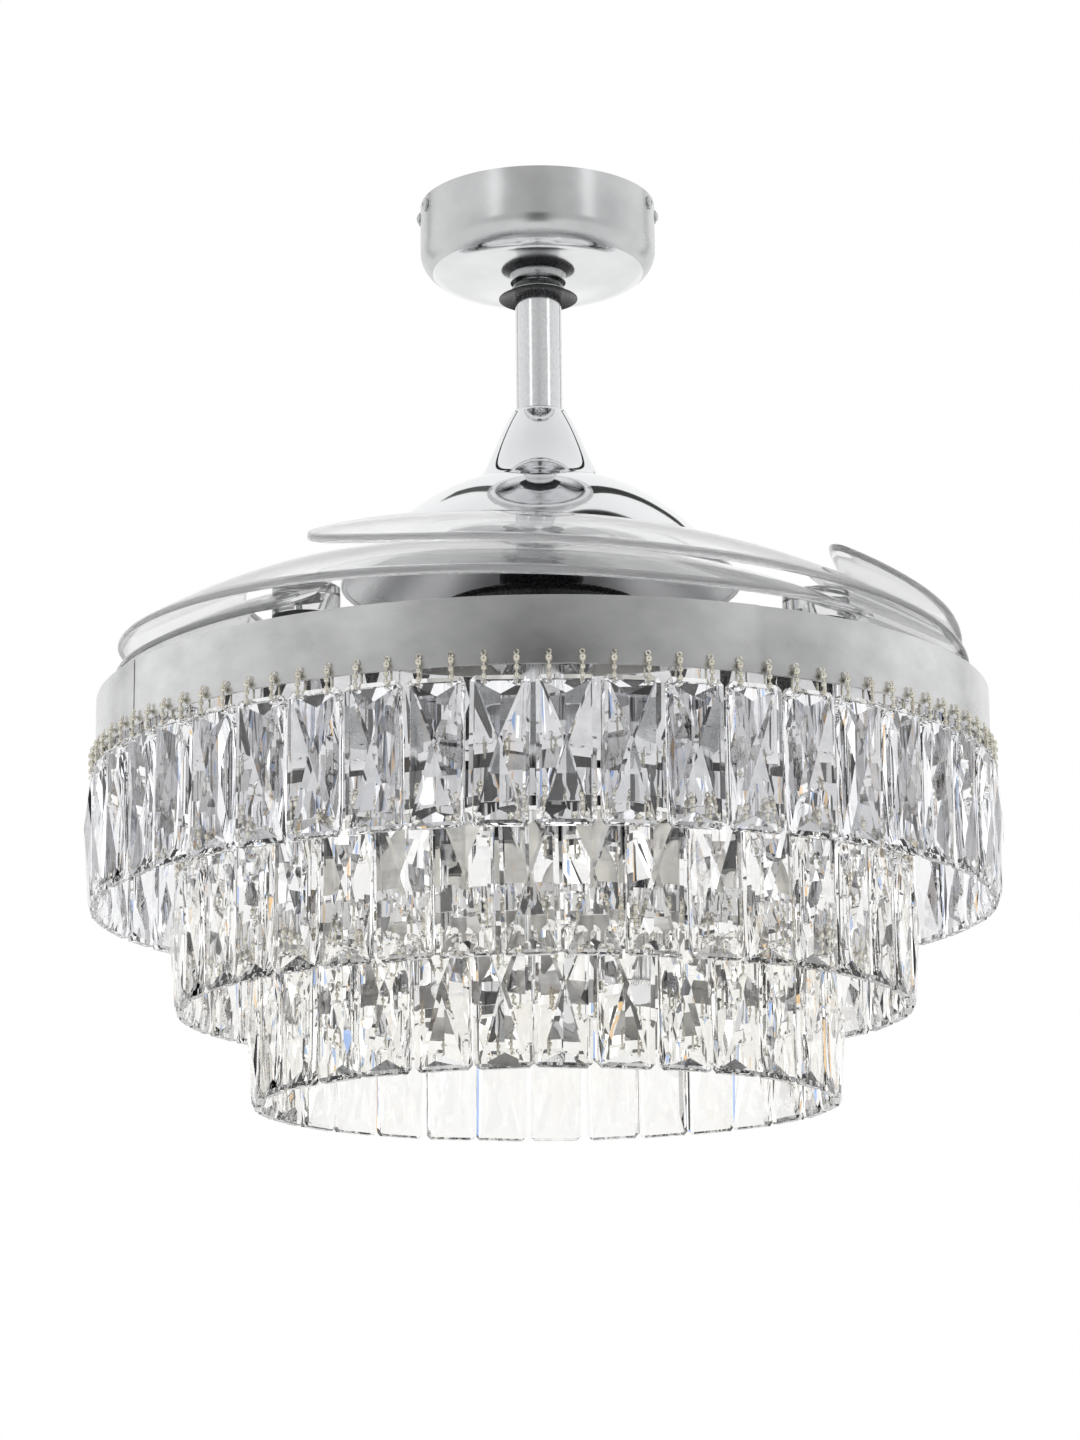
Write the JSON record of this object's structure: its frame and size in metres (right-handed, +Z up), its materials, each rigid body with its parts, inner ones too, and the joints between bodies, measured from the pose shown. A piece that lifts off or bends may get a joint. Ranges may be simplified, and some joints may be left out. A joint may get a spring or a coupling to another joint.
{
  "type": "retractable blade ceiling fan",
  "caption": "Ceiling fan whose clear curved blades fold into a ring above a stepped drum of hanging cut crystals, on a short rod with a round ceiling canopy.",
  "frame": {"origin": "middle of the ceiling plate's upper face, in the ceiling plane, on the fan's axis", "axes": "+Z up along the fan's axis into the ceiling; the fan hangs below; +X along the two ceiling screws; -Y is the side seen in the picture"},
  "size_m": [0.5124, 0.5124, 0.5243],
  "materials": {
    "chrome": "polished chrome",
    "satin_steel": "satin stainless steel",
    "rod_steel": "brushed nickel tube",
    "zinc_steel": "bright zinc plate",
    "spring_steel": "drawn spring wire",
    "bearing_steel": "ground bearing steel",
    "magnet": "sintered magnet",
    "lamination": "stacked electrical steel",
    "copper_wire": "enamelled copper winding",
    "black_paint": "semi-gloss black",
    "black_plastic": "moulded black",
    "white_plastic": "moulded nylon",
    "rubber": "soft black rubber",
    "clear_acrylic": "clear polished acrylic",
    "lamp_glass": "frosted lamp glass",
    "crystal": "cut clear crystal"
  },
  "bodies": {
    "mount": {"hanger_bracket": "zinc_steel", "canopy": "chrome", "canopy_screws": "zinc_steel", "remote_receiver": "white_plastic"},
    "hanging_column": {"hanger_ball": "white_plastic", "ball_pin": "zinc_steel", "downrod": "rod_steel", "rod_collar": "black_plastic", "rod_yoke": "zinc_steel", "yoke_pin": "zinc_steel", "bell_cover": "chrome", "dome_cover": "chrome", "dome_bracket": "zinc_steel", "dome_screws": "chrome", "shaft_nut": "zinc_steel", "motor_shaft": "zinc_steel", "stator_core": "lamination", "stator_coils": "copper_wire", "upper_bearing": "bearing_steel", "lower_bearing": "bearing_steel", "light_flange": "zinc_steel", "flange_nut": "zinc_steel", "light_pan": "chrome", "pan_screws": "zinc_steel", "ring_band": "satin_steel", "centre_column": "chrome", "frame_collars": "zinc_steel", "lamp_plate": "chrome", "lamp_holders": "black_plastic", "bulbs": "lamp_glass", "tier_frame_2": "chrome", "tier_frame_3": "chrome", "crystal_hooks": "chrome", "crystals_1": "crystal", "crystals_2": "crystal", "crystals_3": "crystal"},
    "rotor": {"motor_top": "black_paint", "motor_base": "black_paint", "rotor_magnets": "magnet", "casing_screws": "zinc_steel", "blade_carrier": "zinc_steel", "carrier_screws": "zinc_steel", "pivot_posts": "zinc_steel", "post_screws": "zinc_steel", "return_springs": "spring_steel", "stop_bumpers": "rubber", "gear_retainers": "zinc_steel"},
    "sync": {"sync_gear": "black_plastic"},
    "blade_arm_1": {"blade_1": "clear_acrylic", "blade_hub_1": "black_plastic", "blade_screws_1": "zinc_steel"},
    "blade_arm_2": {"blade_2": "clear_acrylic", "blade_hub_2": "black_plastic", "blade_screws_2": "zinc_steel"},
    "blade_arm_3": {"blade_3": "clear_acrylic", "blade_hub_3": "black_plastic", "blade_screws_3": "zinc_steel"},
    "blade_arm_4": {"blade_4": "clear_acrylic", "blade_hub_4": "black_plastic", "blade_screws_4": "zinc_steel"}
  },
  "joints": [
    {"name": "hanger_tilt", "type": "hinge", "parent": "mount", "child": "hanging_column", "pos_m": [0, 0, -0.024], "axis": [1, 0, 0], "range_deg": [-3, 3]},
    {"name": "fan_spin", "type": "hinge", "parent": "hanging_column", "child": "rotor", "pos_m": [0, 0, -0.263], "axis": [0, 0, 1], "continuous": true},
    {"name": "blade_swing_1", "type": "hinge", "parent": "rotor", "child": "blade_arm_1", "pos_m": [0.14643, -0.12418, -0.293], "axis": [0, 0, 1], "range_deg": [0, 110], "stiffness_Nm_per_rad": 0.08, "springref_deg": -28.65},
    {"name": "blade_swing_2", "type": "hinge", "parent": "rotor", "child": "blade_arm_2", "pos_m": [0.12418, 0.14643, -0.293], "axis": [0, 0, 1], "range_deg": [0, 110], "stiffness_Nm_per_rad": 0.08, "springref_deg": -28.65},
    {"name": "blade_swing_3", "type": "hinge", "parent": "rotor", "child": "blade_arm_3", "pos_m": [-0.14643, 0.12418, -0.293], "axis": [0, 0, 1], "range_deg": [0, 110], "stiffness_Nm_per_rad": 0.08, "springref_deg": -28.65},
    {"name": "blade_swing_4", "type": "hinge", "parent": "rotor", "child": "blade_arm_4", "pos_m": [-0.12418, -0.14643, -0.293], "axis": [0, 0, 1], "range_deg": [0, 110], "stiffness_Nm_per_rad": 0.08, "springref_deg": -28.65},
    {"name": "sync_turn", "type": "hinge", "parent": "rotor", "child": "sync", "pos_m": [0, 0, -0.293], "axis": [0, 0, 1], "range_deg": [-16, 0]}
  ],
  "couplings": [
    {"joint": "blade_swing_2", "follows": "blade_swing_1", "ratio": 1},
    {"joint": "blade_swing_3", "follows": "blade_swing_1", "ratio": 1},
    {"joint": "blade_swing_4", "follows": "blade_swing_1", "ratio": 1},
    {"joint": "sync_turn", "follows": "blade_swing_1", "ratio": -0.14286}
  ]
}
